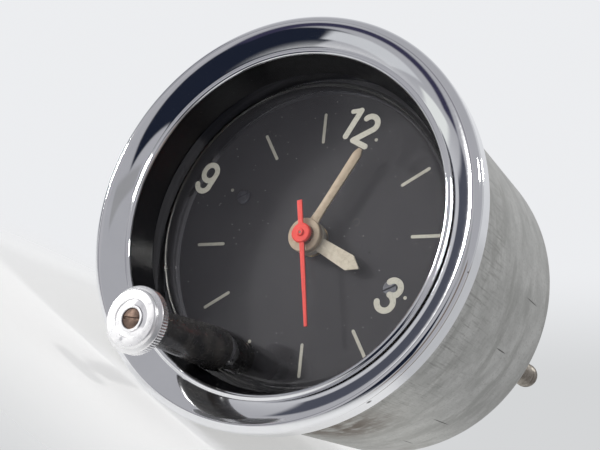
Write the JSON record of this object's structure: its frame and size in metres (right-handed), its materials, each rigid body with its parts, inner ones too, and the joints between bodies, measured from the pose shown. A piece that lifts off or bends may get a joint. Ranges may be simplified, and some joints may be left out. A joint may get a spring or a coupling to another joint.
{
  "type": "dashboard clock",
  "caption": "Round panel clock with a chromed bezel, recessed black dial, three hands, a push and turn setting knob and studs on the back.",
  "frame": {"origin": "on the clock's axis, at the rear edge of the bezel where it seats on the panel", "axes": "+Y into the panel along the clock's axis, face looking along -Y, +Z towards 12 o'clock, +X towards 3 o'clock"},
  "size_m": [0.056, 0.0742, 0.056],
  "materials": {
    "chrome": "polished",
    "can_steel": "zinc plated, dull",
    "black_gloss": "glossy",
    "clear_lens": "clear moulded",
    "print_cream": "printed",
    "dial_black": "matte",
    "hand_cream": "satin",
    "hand_red": "satin",
    "brass": "machined",
    "steel": "machined",
    "aged_brass": "tarnished",
    "patina_steel": "brown patina",
    "rubber": "soft",
    "insulator": "moulded",
    "copper": "enamelled wire",
    "bulb_glass": "clear"
  },
  "bodies": {
    "case": {"case_can": "can_steel", "support_ring": "can_steel", "bezel": "chrome", "shade_ring": "black_gloss", "lens_gasket": "rubber", "lens": "clear_lens", "lens_numerals": "print_cream", "spacer_ring": "black_gloss", "dial_plate": "dial_black", "dial_markings": "print_cream", "dial_screws": "dial_black", "dial_posts": "brass", "stem_sleeve": "black_gloss", "stem_bush": "brass", "stem_spring": "steel", "setting_post": "steel", "minute_post": "steel", "front_plate": "brass", "rear_plate": "brass", "pillars": "brass", "plate_screws": "steel", "balance_cock": "brass", "cock_screw": "steel", "drive_spring": "steel", "spring_post": "steel", "coil_bobbin": "insulator", "coil_winding": "copper", "coil_core": "steel", "contact_block": "insulator", "contact_blade": "brass", "mounting_studs": "patina_steel", "stud_bushes": "brass", "stud_nuts": "steel", "terminal_post": "brass", "terminal_insulators": "insulator", "terminal_nut": "brass", "lamp_holder": "steel", "lamp_bulb": "bulb_glass"},
    "minute_hand": {"minute_hand": "hand_cream", "cannon_pinion": "brass"},
    "hour_hand": {"hour_hand": "hand_cream", "hour_wheel": "brass"},
    "minute_wheel": {"minute_wheel": "brass"},
    "setting_pinion": {"setting_pinion": "brass"},
    "second_hand": {"second_hand": "hand_red", "seconds_wheel": "brass"},
    "centre_wheel": {"centre_wheel": "brass"},
    "third_wheel": {"third_wheel": "brass", "ratchet_wheel": "steel"},
    "escape_wheel": {"escape_wheel": "brass"},
    "pallet_lever": {"pallet_lever": "steel"},
    "balance": {"balance_wheel": "brass", "hairspring": "steel"},
    "regulator": {"regulator_index": "steel"},
    "armature": {"armature": "steel"},
    "drive_pawl": {"drive_pawl": "steel"},
    "stem_slide": {"stem_washer": "steel"},
    "setting_knob": {"setting_knob": "chrome", "knob_screw": "aged_brass", "setting_arbor": "steel"}
  },
  "joints": [
    {"name": "minute_hand_turn", "type": "hinge", "parent": "case", "child": "minute_hand", "pos_m": [0, 0.012, 0], "axis": [0, 1, 0], "continuous": true},
    {"name": "hour_hand_turn", "type": "hinge", "parent": "case", "child": "hour_hand", "pos_m": [0, 0.012, 0], "axis": [0, 1, 0], "continuous": true},
    {"name": "minute_wheel_turn", "type": "hinge", "parent": "case", "child": "minute_wheel", "pos_m": [0.00761, 0.012, -0.00928], "axis": [0, 1, 0], "continuous": true},
    {"name": "setting_pinion_turn", "type": "hinge", "parent": "case", "child": "setting_pinion", "pos_m": [0, 0.012, -0.0192], "axis": [0, 1, 0], "continuous": true},
    {"name": "second_hand_turn", "type": "hinge", "parent": "case", "child": "second_hand", "pos_m": [0, 0.012, 0], "axis": [0, 1, 0], "continuous": true},
    {"name": "third_wheel_turn", "type": "hinge", "parent": "case", "child": "third_wheel", "pos_m": [-0.01015, 0.012, -0.00369], "axis": [0, 1, 0], "continuous": true},
    {"name": "centre_wheel_turn", "type": "hinge", "parent": "case", "child": "centre_wheel", "pos_m": [0, 0.012, 0], "axis": [0, 1, 0], "continuous": true},
    {"name": "escape_wheel_turn", "type": "hinge", "parent": "case", "child": "escape_wheel", "pos_m": [0.01015, 0.012, 0.00369], "axis": [0, 1, 0], "continuous": true},
    {"name": "pallet_lever_rock", "type": "hinge", "parent": "case", "child": "pallet_lever", "pos_m": [0.01234, 0.012, -0.00232], "axis": [0, 1, 0], "range_deg": [-4, 4]},
    {"name": "balance_swing", "type": "hinge", "parent": "case", "child": "balance", "pos_m": [0.01456, 0.03, -0.00843], "axis": [0, 1, 0], "range_deg": [-220, 220], "stiffness_Nm_per_rad": 0.0000025},
    {"name": "regulator_turn", "type": "hinge", "parent": "case", "child": "regulator", "pos_m": [0.01456, 0.034, -0.00843], "axis": [0, 1, 0], "range_deg": [-20, 20]},
    {"name": "armature_rock", "type": "hinge", "parent": "case", "child": "armature", "pos_m": [-0.01015, 0.031, -0.00369], "axis": [0, 1, 0], "range_deg": [-18, 0], "deforming": ["drive_spring"]},
    {"name": "drive_pawl_lift", "type": "hinge", "parent": "armature", "child": "drive_pawl", "pos_m": [-0.00675, 0.0295, 0.00071], "axis": [0, 1, 0], "range_deg": [-12, 0], "stiffness_Nm_per_rad": 0.00002},
    {"name": "knob_push", "type": "slide", "parent": "case", "child": "stem_slide", "axis": [0, 1, 0], "range_m": [0, 0.002], "stiffness_N_per_m": 300, "springref_m": -0.003, "deforming": ["stem_spring"]},
    {"name": "knob_turn", "type": "hinge", "parent": "stem_slide", "child": "setting_knob", "pos_m": [0, 0, -0.0192], "axis": [0, 1, 0], "continuous": true}
  ],
  "couplings": [
    {"joint": "hour_hand_turn", "follows": "minute_hand_turn", "ratio": 0.083333},
    {"joint": "minute_wheel_turn", "follows": "minute_hand_turn", "ratio": -0.33333},
    {"joint": "setting_pinion_turn", "follows": "minute_hand_turn", "ratio": 0.85714},
    {"joint": "third_wheel_turn", "follows": "second_hand_turn", "ratio": -0.13333},
    {"joint": "centre_wheel_turn", "follows": "second_hand_turn", "ratio": 0.016667},
    {"joint": "escape_wheel_turn", "follows": "second_hand_turn", "ratio": -8}
  ]
}
